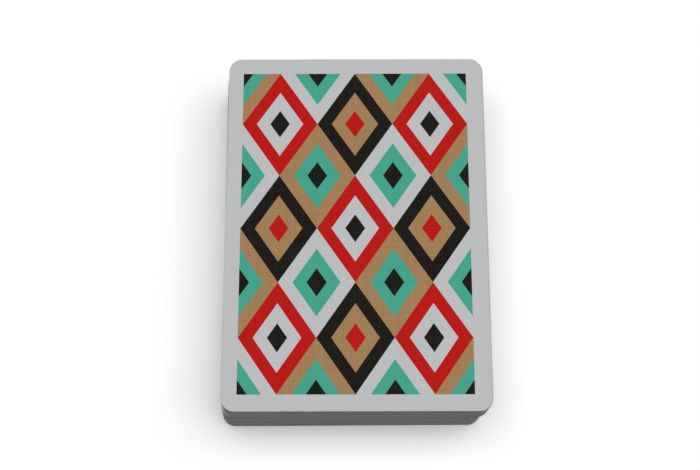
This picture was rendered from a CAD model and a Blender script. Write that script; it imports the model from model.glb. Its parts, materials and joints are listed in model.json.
import json
import math
import bmesh
import bpy
from mathutils import Matrix, Vector

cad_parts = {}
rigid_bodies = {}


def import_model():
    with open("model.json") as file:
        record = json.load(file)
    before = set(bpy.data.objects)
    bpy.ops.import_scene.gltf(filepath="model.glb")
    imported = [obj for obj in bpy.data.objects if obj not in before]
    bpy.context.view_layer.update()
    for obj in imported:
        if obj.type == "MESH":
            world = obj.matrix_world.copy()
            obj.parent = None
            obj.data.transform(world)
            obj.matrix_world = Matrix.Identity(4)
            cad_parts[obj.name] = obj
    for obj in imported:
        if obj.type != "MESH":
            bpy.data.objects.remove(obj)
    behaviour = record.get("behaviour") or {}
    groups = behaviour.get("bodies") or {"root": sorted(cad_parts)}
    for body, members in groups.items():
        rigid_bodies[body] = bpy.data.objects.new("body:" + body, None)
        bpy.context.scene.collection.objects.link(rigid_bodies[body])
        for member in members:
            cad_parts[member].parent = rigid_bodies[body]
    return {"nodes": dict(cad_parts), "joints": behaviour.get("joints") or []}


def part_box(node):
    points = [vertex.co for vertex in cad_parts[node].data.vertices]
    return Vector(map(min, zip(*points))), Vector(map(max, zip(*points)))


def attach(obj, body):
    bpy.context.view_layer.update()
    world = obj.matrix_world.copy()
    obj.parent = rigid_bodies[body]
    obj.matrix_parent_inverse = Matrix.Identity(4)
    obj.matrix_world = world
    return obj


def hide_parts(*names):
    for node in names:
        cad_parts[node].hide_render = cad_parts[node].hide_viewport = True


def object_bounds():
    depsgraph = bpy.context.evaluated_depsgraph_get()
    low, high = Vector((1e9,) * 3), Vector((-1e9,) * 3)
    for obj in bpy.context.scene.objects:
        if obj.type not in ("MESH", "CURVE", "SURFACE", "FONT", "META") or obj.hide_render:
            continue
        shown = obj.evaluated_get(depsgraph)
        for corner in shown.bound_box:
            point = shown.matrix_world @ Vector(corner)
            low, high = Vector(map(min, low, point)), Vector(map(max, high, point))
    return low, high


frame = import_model()        # one node and one body for each card of the pack
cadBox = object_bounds()
print("frame loaded with", len(frame["nodes"]), "cards")

mm = 0.001               # cards and prints are drawn in millimetres and scaled as they are laid
lowestCard = frame["joints"][0]["parent"]
lowCorner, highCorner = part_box(lowestCard)

card = {
    "width": (highCorner.x - lowCorner.x) / mm,
    "length": (highCorner.y - lowCorner.y) / mm,
    "thickness": (highCorner.z - lowCorner.z) / mm,
    "cornerRadius": 3.175,
    "cornerSteps": 10,       # facets in each rounded corner
    "coreThickness": 0.035,  # opaque paste between the two papers
    "rimRadius": 0.03,       # edge rolled over by the punch
    "rimSteps": 2,
    "creaseAngle": 20,       # degrees, above which an edge stays sharp
    "flatness": 0.95,        # least share of a flat side's normal along its axis
    "touch": 0.001,          # points nearer than this are one
}


# Small helpers


def clearSelection():
    if bpy.context.object and bpy.context.object.mode != "OBJECT":
        bpy.ops.object.mode_set(mode="OBJECT")
    bpy.ops.object.select_all(action="DESELECT")


def activate(piece):
    clearSelection()
    piece.select_set(True)
    bpy.context.view_layer.objects.active = piece


def pick(piece, kind, test):     # selects the faces or edges that pass a test
    bpy.ops.mesh.select_mode(type=kind)
    bpy.ops.mesh.select_all(action="DESELECT")
    shape = bmesh.from_edit_mesh(piece.data)
    for part in (shape.faces if kind == "FACE" else shape.edges):
        if test(part):
            part.select_set(True)
    bmesh.update_edit_mesh(piece.data)


def copyOf(piece, name):         # a copy with its own mesh
    twin = piece.copy()
    twin.data = piece.data.copy()
    twin.name = name
    twin.data.name = name
    bpy.context.scene.collection.objects.link(twin)
    return twin


def joinInto(main, others):
    clearSelection()
    for piece in others:
        piece.select_set(True)
    main.select_set(True)
    bpy.context.view_layer.objects.active = main
    bpy.ops.object.join()
    return main


def throwAway(piece):
    bpy.data.objects.remove(piece, do_unlink=True)


def shade(colour, factor):
    return tuple(channel * factor for channel in colour) + (1,)


# Finishes: bare coated board, four inks, and the cut edge of the board

linen = {
    "pitch": 0.46 * mm,      # distance between embossed threads
    "waver": 1.6,            # how far the threads wander
    "waverDetail": 1,
    "waverScale": 0.7,
    "depth": 0.012 * mm,
    "strength": 0.5,
    "slubWidth": 0.8 * mm,   # threads that are thicker here and there
    "slubLength": 22 * mm,
    "mottleSize": 9 * mm,    # slow change in tone over the sheet
    "threadShares": {"X": 0.4, "Y": 0.6},    # how strongly the threads show each way
    "weaveShare": 0.4,       # what each pattern adds to the tone
    "slubShare": 0.25,
    "mottleShare": 0.1,
    "roughness": (0.68, 0.56),       # between the threads and on them
    "shine": 0.03,           # a dull coating
}

inks = {                     # linear colour, and its swing in tone over the threads
    "white": ((0.594, 0.599, 0.613), 0.09),
    "red": ((0.549, 0.0118, 0.0087), 0.29),
    "mint": ((0.071, 0.427, 0.303), 0.145),
    "black": ((0.0130, 0.0115, 0.0090), 0.95),
    "tan": ((0.412, 0.243, 0.112), 0.26),
}

toneRange = (0.2, 0.8)       # part of a pattern's range over which its tone changes


def link(tree, source, target):
    tree.links.new(source, target)


def addNode(tree, kind, **settings):
    made = tree.nodes.new(kind)
    for name, value in settings.items():
        setattr(made, name, value)
    return made


def threads(tree, place, direction):     # one set of parallel embossed threads
    wave = addNode(tree, "ShaderNodeTexWave", wave_type="BANDS", bands_direction=direction)
    wave.inputs["Scale"].default_value = math.pi / 10 / linen["pitch"]   # 20 radians to a unit
    wave.inputs["Distortion"].default_value = linen["waver"]
    wave.inputs["Detail"].default_value = linen["waverDetail"]
    wave.inputs["Detail Scale"].default_value = linen["waverScale"]
    link(tree, place, wave.inputs["Vector"])
    return wave.outputs["Fac"]


def noise(tree, place, size, detail):
    cloud = addNode(tree, "ShaderNodeTexNoise")
    cloud.inputs["Scale"].default_value = 1 / size
    cloud.inputs["Detail"].default_value = detail
    link(tree, place, cloud.inputs["Vector"])
    return cloud.outputs["Fac"]


def slubs(tree, place, width, length):   # long uneven streaks along the threads
    stretch = addNode(tree, "ShaderNodeMapping")
    stretch.inputs["Scale"].default_value = (1 / width, 1 / length, 1)
    link(tree, place, stretch.inputs["Vector"])
    return noise(tree, stretch.outputs["Vector"], 1, 2)


def mathNode(tree, operation, first, second):
    made = addNode(tree, "ShaderNodeMath", operation=operation)
    for socket, value in zip(made.inputs, (first, second)):
        if isinstance(value, (int, float)):
            socket.default_value = value
        else:
            link(tree, value, socket)
    return made.outputs[0]


def ramp(tree, factor, low, high):       # blends between two colours
    made = addNode(tree, "ShaderNodeValToRGB")
    for stop, position, colour in zip(made.color_ramp.elements, toneRange, (low, high)):
        stop.position, stop.color = position, colour
    link(tree, factor, made.inputs["Fac"])
    return made.outputs["Color"]


def rangeNode(tree, factor, low, high):  # blends between two values
    made = addNode(tree, "ShaderNodeMapRange")
    made.inputs["To Min"].default_value = low
    made.inputs["To Max"].default_value = high
    link(tree, factor, made.inputs["Value"])
    return made.outputs["Result"]


def toneRamp(tree, factor, colour, swing):       # a colour from its darker to its lighter tone
    return ramp(tree, factor, shade(colour, 1 - swing), shade(colour, 1 + swing))


def newMaterial(name):
    material = bpy.data.materials.new(name)
    material.use_nodes = True
    tree = material.node_tree
    place = addNode(tree, "ShaderNodeTexCoord").outputs["Object"]
    return material, tree, tree.nodes["Principled BSDF"], place


def linenPrint(name):        # ink or bare coating over the linen emboss
    colour, swing = inks[name]
    material, tree, shader, place = newMaterial(name + "Print")
    weave = mathNode(tree, "ADD", *(
        mathNode(tree, "MULTIPLY", threads(tree, place, way), share)
        for way, share in linen["threadShares"].items()))
    streaks = mathNode(tree, "ADD", slubs(tree, place, linen["slubWidth"], linen["slubLength"]),
                       slubs(tree, place, linen["slubLength"], linen["slubWidth"]))
    mottle = noise(tree, place, linen["mottleSize"], 3)
    rest = mathNode(tree, "ADD", mathNode(tree, "MULTIPLY", streaks, linen["slubShare"]),
                    mathNode(tree, "MULTIPLY", mottle, linen["mottleShare"]))
    tone = mathNode(tree, "ADD", mathNode(tree, "MULTIPLY", weave, linen["weaveShare"]), rest)
    link(tree, toneRamp(tree, tone, colour, swing), shader.inputs["Base Color"])
    link(tree, rangeNode(tree, weave, *linen["roughness"]), shader.inputs["Roughness"])
    shader.inputs["Specular IOR Level"].default_value = linen["shine"]
    bump = addNode(tree, "ShaderNodeBump")
    bump.inputs["Strength"].default_value = linen["strength"]
    bump.inputs["Distance"].default_value = linen["depth"]
    link(tree, weave, bump.inputs["Height"])
    link(tree, bump.outputs["Normal"], shader.inputs["Normal"])
    return material


cutEdge = {
    "paper": (0.800, 0.772, 0.786),
    "core": (0.28, 0.28, 0.29),
    "rim": (0.220, 0.212, 0.216),    # darkened by handling
    "fibreSize": 0.12 * mm,
    "fibreDepth": 0.01 * mm,
    "layerSize": 0.35 * mm,
    "layerStretch": 0.02,    # layers are long in the sheet and short through it
    "swing": 0.05,           # change in tone from layer to layer
    "roughness": (0.8, 0.95),
    "sheen": 0.1,
}


def edgeBoard(name, colour):     # fibres where the punch cut the board
    material, tree, shader, place = newMaterial(name)
    fibres = noise(tree, place, cutEdge["fibreSize"], 4)
    layers = addNode(tree, "ShaderNodeMapping")
    layers.inputs["Scale"].default_value = (cutEdge["layerStretch"], cutEdge["layerStretch"], 1)
    link(tree, place, layers.inputs["Vector"])
    streaks = noise(tree, layers.outputs["Vector"], cutEdge["layerSize"], 2)
    tone = mathNode(tree, "MULTIPLY", mathNode(tree, "ADD", fibres, streaks), 0.5)
    link(tree, toneRamp(tree, tone, colour, cutEdge["swing"]), shader.inputs["Base Color"])
    link(tree, rangeNode(tree, fibres, *cutEdge["roughness"]), shader.inputs["Roughness"])
    shader.inputs["Specular IOR Level"].default_value = cutEdge["sheen"]
    bump = addNode(tree, "ShaderNodeBump")
    bump.inputs["Distance"].default_value = cutEdge["fibreDepth"]
    link(tree, fibres, bump.inputs["Height"])
    link(tree, bump.outputs["Normal"], shader.inputs["Normal"])
    return material


finishes = [linenPrint(name) for name in inks]
edgeFinishes = {"edgePaper": "paper", "edgeCore": "core", "edgeRim": "rim"}
finishes += [edgeBoard(name, cutEdge[part]) for name, part in edgeFinishes.items()]
finishNames = list(inks) + list(edgeFinishes)
slotOf = {name: number for number, name in enumerate(finishNames)}
print("finishes mixed:", ", ".join(finishNames))


def inkable(pattern, name):      # gives a pattern its name and every finish
    pattern.name = name
    pattern.data.materials.clear()
    for finish in finishes:
        pattern.data.materials.append(finish)
    return pattern


# The back: a panel of nested lozenges inside a bare border

backPrint = {
    "panelWidth": 55.8,
    "panelLength": 81.0,
    "across": 3,             # whole lozenges across and along the panel
    "along": 3,
    "nestShares": (0.62, 0.26),      # size of the two lozenges inside each one
    "offRegister": -0.2,     # how far the panel is printed off the middle
    "families": {            # inks from the rim of a lozenge to its heart
        (0, 0): ("red", "white", "black"),
        (1, 1): ("black", "tan", "red"),
        (1, 0): ("white", "mint", "black"),
        (0, 1): ("tan", "mint", "black"),
    },
}


def nestedLozenge(halfWidth, halfLength):
    clearSelection()
    bpy.ops.mesh.primitive_circle_add(vertices=4, radius=1, fill_type="NGON")
    lozenge = bpy.context.object
    lozenge.scale = (halfWidth, halfLength, 1)
    bpy.ops.object.transform_apply(location=False, rotation=False, scale=True)
    inRadius = halfWidth * halfLength / math.hypot(halfWidth, halfLength)
    bpy.ops.object.mode_set(mode="EDIT")
    bpy.ops.mesh.select_all(action="SELECT")
    size = 1
    for share in backPrint["nestShares"]:
        bpy.ops.mesh.inset(thickness=(size - share) * inRadius)
        size = share
    bpy.ops.object.mode_set(mode="OBJECT")
    return inkable(lozenge, "lozenge")


def nestLevel(middle, halfWidth, halfLength):    # 0 at the rim of a lozenge, 2 at its heart
    reach = abs(middle.x) / halfWidth + abs(middle.y) / halfLength
    return sum(reach < share for share in backPrint["nestShares"])


def lozengePanel():
    across, along = backPrint["across"], backPrint["along"]
    halfWidth = backPrint["panelWidth"] / across / 2
    halfLength = backPrint["panelLength"] / along / 2
    pattern = nestedLozenge(halfWidth, halfLength)
    levels = [nestLevel(face.center, halfWidth, halfLength) for face in pattern.data.polygons]
    copies = []
    for column in range(-across, across + 1):
        for row in range(-along, along + 1):
            if (column + row) % 2:
                continue
            family = ((column + row) // 2 % 2, (column - row) // 2 % 2)
            lozenge = copyOf(pattern, "lozenge")
            for face, level in zip(lozenge.data.polygons, levels):
                face.material_index = slotOf[backPrint["families"][family][level]]
            lozenge.data.transform(Matrix.Translation((column * halfWidth, row * halfLength, 0)))
            copies.append(lozenge)
    throwAway(pattern)
    panel = joinInto(copies[0], copies[1:])
    bpy.ops.object.mode_set(mode="EDIT")
    bpy.ops.mesh.select_all(action="SELECT")
    bpy.ops.mesh.remove_doubles(threshold=card["touch"])
    for side in (Vector((1, 0, 0)), Vector((-1, 0, 0)), Vector((0, 1, 0)), Vector((0, -1, 0))):
        reach = Vector((side.x * backPrint["panelWidth"], side.y * backPrint["panelLength"], 0)) / 2
        bpy.ops.mesh.select_all(action="SELECT")
        bpy.ops.mesh.bisect(plane_co=reach, plane_no=side, clear_outer=True,
                            threshold=card["touch"])
    bpy.ops.object.mode_set(mode="OBJECT")
    panel.data.transform(Matrix.Translation((backPrint["offRegister"], 0, card["thickness"])))
    panel.name = "lozengePanel"
    return panel


# The blank: two papers pasted on a core, punched with round corners


def cutBlank():
    clearSelection()
    bpy.ops.mesh.primitive_plane_add(size=1)
    blank = inkable(bpy.context.object, "cardBlank")
    blank.scale = (card["width"], card["length"], 1)
    bpy.ops.object.transform_apply(location=False, rotation=False, scale=True)
    bpy.ops.object.mode_set(mode="EDIT")
    bpy.ops.mesh.select_all(action="SELECT")
    bpy.ops.mesh.bevel(offset=card["cornerRadius"], segments=card["cornerSteps"],
                       affect="VERTICES")
    paper = (card["thickness"] - card["coreThickness"]) / 2
    for ply in (paper, card["coreThickness"], paper):
        bpy.ops.mesh.extrude_region_move(TRANSFORM_OT_translate={"value": (0, 0, ply)})
    bpy.ops.mesh.select_all(action="SELECT")
    bpy.ops.mesh.normals_make_consistent(inside=False)
    rimHeights = (0, card["thickness"])
    pick(blank, "EDGE", lambda edge: any(
        all(abs(corner.co.z - height) < card["touch"] for corner in edge.verts)
        for height in rimHeights))
    bpy.ops.mesh.bevel(offset=card["rimRadius"], segments=card["rimSteps"], affect="EDGES")
    bpy.ops.object.mode_set(mode="OBJECT")
    for face in blank.data.polygons:
        rise = abs(face.normal.z)            # 0 on the upright edge, 1 on the flat sides
        atCore = abs(face.center.z - card["thickness"] / 2) < card["coreThickness"] / 2
        if rise > card["flatness"]:
            finish = "white"
        elif rise > 1 - card["flatness"]:
            finish = "edgeRim"
        else:
            finish = "edgeCore" if atCore else "edgePaper"
        face.material_index = slotOf[finish]
    return blank


def openSide(blank, facing):     # takes away the flat face that a print will fill
    activate(blank)
    bpy.ops.object.mode_set(mode="EDIT")
    pick(blank, "FACE",
         lambda face: face.normal.z * facing > card["flatness"] and len(face.verts) > 4)
    bpy.ops.mesh.delete(type="ONLY_FACE")
    bpy.ops.object.mode_set(mode="OBJECT")


def fillRound(blank):            # bare board between the card's rim and what is printed
    activate(blank)
    bpy.ops.object.mode_set(mode="EDIT")
    bpy.ops.mesh.select_mode(type="EDGE")
    bpy.ops.mesh.select_all(action="DESELECT")
    bpy.ops.mesh.select_non_manifold(extend=False, use_wire=False, use_boundary=True,
                                     use_multi_face=False, use_non_contiguous=False,
                                     use_verts=False)
    printed = len(blank.data.polygons)
    bpy.ops.mesh.fill(use_beauty=True)
    pick(blank, "FACE", lambda face: face.index >= printed)
    blank.active_material_index = slotOf["white"]
    bpy.ops.object.material_slot_assign()
    bpy.ops.mesh.select_all(action="SELECT")
    bpy.ops.mesh.normals_make_consistent(inside=False)
    bpy.ops.object.mode_set(mode="OBJECT")


blank = cutBlank()
openSide(blank, 1)
joinInto(blank, [lozengePanel()])
fillRound(blank)
openSide(blank, -1)
print("card blank printed on its back,", len(blank.data.polygons), "faces")


# The face: pips, rank letters and frames as stamps one unit high

facePrint = {
    "indexPlace": (26.4, 37.2),      # rank letter at two corners, from the card's middle
    "indexHeight": 7.0,
    "smallPipPlace": (26.4, 29.6),   # the suit under the rank
    "smallPipHeight": 5.2,
    "pipHeight": 12.0,
    "columns": 12.2,                 # from the card's middle to a column of pips
    "rows": 29.0,                    # and to the first and the last row
    "aceHeight": 30.0,
    "frame": (42.0, 68.0),           # line round the court cards
    "frameLine": 0.5,
    "courtLetterHeight": 17.0,
    "courtLetterPlace": (0, 15.5),
    "courtPipPlace": (14.5, 26.0),
    "courtPipHeight": 10.0,
    "bandHeight": 8.0,
    "starHeight": 30.0,
    "smallStarHeight": 7.5,
    "smallStarPlace": (25.4, 36.2),
    "outlineSteps": 40,              # points round a curved pip
    "letterSteps": 5,
    "letterTouch": 0.0005,           # points of a letter nearer than this are one
    "tenShare": 0.78,                # width of the two narrow figures of a ten
}

heart = {                    # the usual heart curve, by its waves
    "across": 13.44,
    "up": (13, -5, -2, -1),
    "lift": 2.5,
    "span": 29,              # brings the heart to a height of one
}

pipShares = {                # shares of a pip's height
    "spadeOpening": 0.5,     # radians, where the foot leaves the two lobes
    "spadeBody": 0.8,
    "spadeLift": 0.1,
    "spadeFoot": [(-0.06, -0.40), (-0.17, -0.5), (0.17, -0.5), (0.06, -0.40)],
    "lobe": 0.255,
    "sideLobe": (0.25, -0.10),
    "sideArc": (-150, 92),   # degrees
    "topLobe": (0, 0.24),
    "topArc": (-19.5, 199.5),
    "clubFoot": [(-0.05, -0.38), (-0.17, -0.5), (0.17, -0.5), (0.05, -0.38)],
    "diamondWidth": 0.38,
    "starTip": 0.53,
    "starNotch": 0.22,
}

rankLetters = {"ace": "A", "two": "2", "three": "3", "four": "4", "five": "5", "six": "6",
               "seven": "7", "eight": "8", "nine": "9", "ten": "10",
               "jack": "J", "queen": "Q", "king": "K"}
suitInks = {"hearts": "red", "diamonds": "red", "clubs": "black", "spades": "black"}


def heartCurve(angle):
    across = heart["across"] * math.sin(angle) ** 3
    up = sum(part * math.cos(wave * angle) for wave, part in enumerate(heart["up"], 1))
    return across / heart["span"], (up + heart["lift"]) / heart["span"]


def heartOutline():
    steps = facePrint["outlineSteps"]
    return [heartCurve(2 * math.pi * step / steps) for step in range(steps)]


def spadeOutline():              # a heart upside down on a foot
    steps = facePrint["outlineSteps"]
    opening = pipShares["spadeOpening"]
    curve = [heartCurve(opening + (2 * math.pi - 2 * opening) * step / steps)
             for step in range(steps + 1)]
    lift, height = pipShares["spadeLift"], pipShares["spadeBody"]
    return [(across, lift - height * up) for across, up in curve] + pipShares["spadeFoot"]


def around(middle, radius, degrees):
    angle = math.radians(degrees)
    return middle[0] + radius * math.cos(angle), middle[1] + radius * math.sin(angle)


def lobe(middle, span):
    steps = facePrint["outlineSteps"] // 3
    start, end = span
    return [around(middle, pipShares["lobe"], start + (end - start) * step / steps)
            for step in range(steps + 1)]


def clubOutline():               # three lobes on a foot
    right = lobe(pipShares["sideLobe"], pipShares["sideArc"])
    top = lobe(pipShares["topLobe"], pipShares["topArc"])
    left = [(-across, up) for across, up in reversed(right)]
    return right + top[1:-1] + left + pipShares["clubFoot"]


def diamondOutline():
    side = pipShares["diamondWidth"]
    return [(side, 0), (0, 0.5), (-side, 0), (0, -0.5)]


def starOutline():
    points = []
    for tip in range(5):
        points.append(around((0, 0), pipShares["starTip"], 90 + 72 * tip))
        points.append(around((0, 0), pipShares["starNotch"], 126 + 72 * tip))
    return points


def outlineStamp(name, outline):     # a flat disc with its rim drawn to the outline
    clearSelection()
    bpy.ops.mesh.primitive_circle_add(vertices=len(outline), radius=1, fill_type="NGON")
    pattern = bpy.context.object
    for corner, (across, up) in zip(pattern.data.vertices, outline):
        corner.co = (across, up, 0)
    return inkable(pattern, name)


def letterStamp(letter):
    clearSelection()
    bpy.ops.object.text_add()
    bpy.context.object.data.body = letter
    bpy.context.object.data.resolution_u = facePrint["letterSteps"]
    bpy.ops.object.convert(target="MESH")
    pattern = bpy.context.object
    bpy.ops.object.mode_set(mode="EDIT")
    bpy.ops.mesh.select_all(action="SELECT")
    bpy.ops.mesh.remove_doubles(threshold=facePrint["letterTouch"])
    bpy.ops.object.mode_set(mode="OBJECT")
    places = [corner.co for corner in pattern.data.vertices]
    low = Vector((min(place.x for place in places), min(place.y for place in places), 0))
    high = Vector((max(place.x for place in places), max(place.y for place in places), 0))
    narrow = facePrint["tenShare"] if len(letter) > 1 else 1
    pattern.data.transform(Matrix.Diagonal((narrow, 1, 1, 1))
                           @ Matrix.Scale(1 / (high.y - low.y), 4)
                           @ Matrix.Translation(-(low + high) / 2))
    return inkable(pattern, "letter" + letter)


def frameStamp():                # a thin line round a court card, at its real size
    clearSelection()
    bpy.ops.mesh.primitive_plane_add(size=1)
    pattern = bpy.context.object
    pattern.scale = facePrint["frame"] + (1,)
    bpy.ops.object.transform_apply(location=False, rotation=False, scale=True)
    bpy.ops.object.mode_set(mode="EDIT")
    bpy.ops.mesh.select_all(action="SELECT")
    bpy.ops.mesh.inset(thickness=facePrint["frameLine"])
    bpy.ops.mesh.delete(type="FACE")
    bpy.ops.object.mode_set(mode="OBJECT")
    return inkable(pattern, "courtFrame")


stamps = {letter: letterStamp(letter) for letter in rankLetters.values()}
stamps["hearts"] = outlineStamp("heartPip", heartOutline())
stamps["spades"] = outlineStamp("spadePip", spadeOutline())
stamps["clubs"] = outlineStamp("clubPip", clubOutline())
stamps["diamonds"] = outlineStamp("diamondPip", diamondOutline())
stamps["star"] = outlineStamp("star", starOutline())
stamps["frame"] = frameStamp()
print("stamps cut:", ", ".join(stamps))


def press(printed, name, ink, place, height):    # one print on the face, as its reader sees it
    mark = copyOf(stamps[name], "mark")
    mark.data.transform(Matrix.Translation((place[0], place[1], 0)) @ Matrix.Scale(height, 4))
    for face in mark.data.polygons:
        face.material_index = slotOf[ink]
    printed.append(mark)
    return mark


def pressBothWays(printed, name, ink, place, height):    # and again for the other way up
    press(printed, name, ink, place, height)
    mark = press(printed, name, ink, place, height)
    mark.data.transform(Matrix.Rotation(math.pi, 4, "Z"))


def pressIndex(printed, letter, suit, ink):
    across, up = facePrint["indexPlace"]
    pressBothWays(printed, letter, ink, (-across, up), facePrint["indexHeight"])
    across, up = facePrint["smallPipPlace"]
    pressBothWays(printed, suit, ink, (-across, up), facePrint["smallPipHeight"])


def pressPips(printed, count, suit, ink):
    height, side, end = facePrint["pipHeight"], facePrint["columns"], facePrint["rows"]
    perColumn = 0 if count < 4 else 2 if count < 6 else 3 if count < 9 else 4
    rows = [end - 2 * end * row / (perColumn - 1) for row in range(perColumn)]
    spots = [(across, up) for across in (-side, side) for up in rows if up > 0]
    if count in (2, 3):
        spots.append((0, end))
    if count in (8, 10):
        spots.append((0, end / 2 if count == 8 else end * 2 / 3))
    for spot in spots:
        pressBothWays(printed, suit, ink, spot, height)
    if perColumn == 3:
        for across in (-side, side):
            press(printed, suit, ink, (across, 0), height)
    if count in (3, 5, 9):
        press(printed, suit, ink, (0, 0), height)
    if count == 7:
        press(printed, suit, ink, (0, end / 2), height)


def pressCourt(printed, letter, suit, ink):
    press(printed, "frame", "black", (0, 0), 1)
    pressBothWays(printed, letter, ink, facePrint["courtLetterPlace"],
                  facePrint["courtLetterHeight"])
    across, up = facePrint["courtPipPlace"]
    pressBothWays(printed, suit, ink, (-across, up), facePrint["courtPipHeight"])
    for step, colour in ((-2, "mint"), (-1, "tan"), (0, "red"), (1, "tan"), (2, "mint")):
        press(printed, "diamonds", colour, (step * facePrint["bandHeight"], 0),
              facePrint["bandHeight"])


def pressJoker(printed, ink):
    across, up = facePrint["smallStarPlace"]
    pressBothWays(printed, "star", ink, (-across, up), facePrint["smallStarHeight"])
    press(printed, "star", ink, (0, 0), facePrint["starHeight"])


def printFace(piece, node):
    printed = []
    rank, _, suit = node.partition("_of_")
    if not suit:
        pressJoker(printed, node.split("_")[0])
    else:
        letter, ink = rankLetters[rank], suitInks[suit]
        pressIndex(printed, letter, suit, ink)
        if rank in ("jack", "queen", "king"):
            pressCourt(printed, letter, suit, ink)
        elif rank == "ace":
            press(printed, suit, ink, (0, 0), facePrint["aceHeight"])
        else:
            pressPips(printed, list(rankLetters).index(rank) + 1, suit, ink)
    for mark in printed:
        mark.data.transform(Matrix.Diagonal((-1, 1, 1, 1)))      # the face looks down
    joinInto(piece, printed)
    fillRound(piece)


# The cards where they lie


def layOf(node):                 # middle of a card's lower side, and its turn in the pile
    low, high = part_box(node)
    longSide = max((face for face in frame["nodes"][node].data.polygons
                    if face.normal.x > card["flatness"]), key=lambda face: face.area)
    turn = math.atan2(longSide.normal.y, longSide.normal.x)
    return Vector(((low.x + high.x) / 2, (low.y + high.y) / 2, low.z)), turn


def pieceName(node):             # ace_of_hearts becomes aceOfHeartsCard
    words = node.split("_") + ["card"]
    return words[0] + "".join(word.capitalize() for word in words[1:])


for node in frame["nodes"]:
    piece = copyOf(blank, pieceName(node))
    printFace(piece, node)
    middle, turn = layOf(node)
    piece.data.transform(Matrix.Translation(middle) @ Matrix.Rotation(turn, 4, "Z")
                         @ Matrix.Scale(mm, 4))
    activate(piece)
    bpy.ops.object.shade_smooth_by_angle(angle=math.radians(card["creaseAngle"]))
    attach(piece, node)
    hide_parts(node)
for pattern in [blank] + list(stamps.values()):
    throwAway(pattern)
print("cards printed and laid")


# Floor, light and camera

studio = {
    "floorSize": 6.0,
    "floorDrop": 0.02 * mm,  # keeps the floor clear of the lowest face
    "floorColour": (0.18, 0.18, 0.18),
    "floorSeen": (1.224, 1.200, 1.235),      # white to the camera, with the shadow kept
    "ambient": 0.1,
    "lampStrength": 1.225,   # of each of two softboxes, side by side overhead
    "lampSpread": 50,        # degrees across one softbox
    "lampsApart": 34,        # degrees between their middles
    "lampFromBehind": 6,     # degrees from straight above to the middle of the pair
    "lampFromRight": 7.5,
}


def seenDirectly(tree):          # 1 for what the camera, a gloss or a clear piece shows
    path = addNode(tree, "ShaderNodeLightPath")
    seen = mathNode(tree, "MAXIMUM", path.outputs["Is Camera Ray"], path.outputs["Is Glossy Ray"])
    return mathNode(tree, "MAXIMUM", seen, path.outputs["Is Transmission Ray"])


def layFloor():
    clearSelection()
    bpy.ops.mesh.primitive_plane_add(size=studio["floorSize"],
                                     location=(0, 0, cadBox[0][2] - studio["floorDrop"]))
    floor = bpy.context.object
    floor.name = "floor"
    material = bpy.data.materials.new("paleFloor")
    material.use_nodes = True
    tree = material.node_tree
    tree.nodes.remove(tree.nodes["Principled BSDF"])
    sheet = addNode(tree, "ShaderNodeBsdfDiffuse")
    colour = addNode(tree, "ShaderNodeMix", data_type="RGBA")    # its colours are inputs 6 and 7
    colour.inputs[6].default_value = shade(studio["floorColour"], 1)
    colour.inputs[7].default_value = shade(studio["floorSeen"], 1)
    link(tree, seenDirectly(tree), colour.inputs[0])
    link(tree, colour.outputs[2], sheet.inputs["Color"])
    link(tree, sheet.outputs["BSDF"], tree.nodes["Material Output"].inputs["Surface"])
    floor.data.materials.append(material)


def hangLights():
    world = bpy.data.worlds.new("studio")
    bpy.context.scene.world = world
    world.use_nodes = True
    tree = world.node_tree
    backdrop = tree.nodes["Background"]
    backdrop.inputs["Color"].default_value = (1, 1, 1, 1)
    link(tree, rangeNode(tree, seenDirectly(tree), studio["ambient"], 1),
         backdrop.inputs["Strength"])
    for name, side in (("leftLamp", -1), ("rightLamp", 1)):
        bpy.ops.object.light_add(type="SUN")
        lamp = bpy.context.object
        lamp.name = name
        fromRight = studio["lampFromRight"] + side * studio["lampsApart"] / 2
        lamp.rotation_euler = (-math.radians(studio["lampFromBehind"]),
                               math.radians(fromRight), 0)
        lamp.data.angle = math.radians(studio["lampSpread"])
        lamp.data.energy = studio["lampStrength"]


view = {
    "lens": 64.39,
    "sensor": 36,
    "nearClip": 10 * mm,
    "elevation": 73.91,      # degrees above the table
    "azimuth": 0.06,
    "roll": -0.42,
    "aim": (-0.06 * mm, -0.91 * mm, 18.89 * mm),
    "distance": 303.3 * mm,
}


def setCamera():
    turn = (Matrix.Rotation(math.radians(view["azimuth"]), 4, "Z")
            @ Matrix.Rotation(math.radians(90 - view["elevation"]), 4, "X")
            @ Matrix.Rotation(math.radians(view["roll"]), 4, "Z"))
    eye = Vector(view["aim"]) + turn.to_3x3() @ Vector((0, 0, view["distance"]))
    bpy.ops.object.camera_add()
    camera = bpy.context.object
    camera.matrix_world = Matrix.Translation(eye) @ turn
    camera.data.sensor_width = view["sensor"]
    camera.data.lens = view["lens"]
    camera.data.clip_start = view["nearClip"]
    bpy.context.scene.camera = camera


layFloor()
hangLights()
setCamera()
bpy.context.scene.view_settings.view_transform = "Standard"
print("studio set")
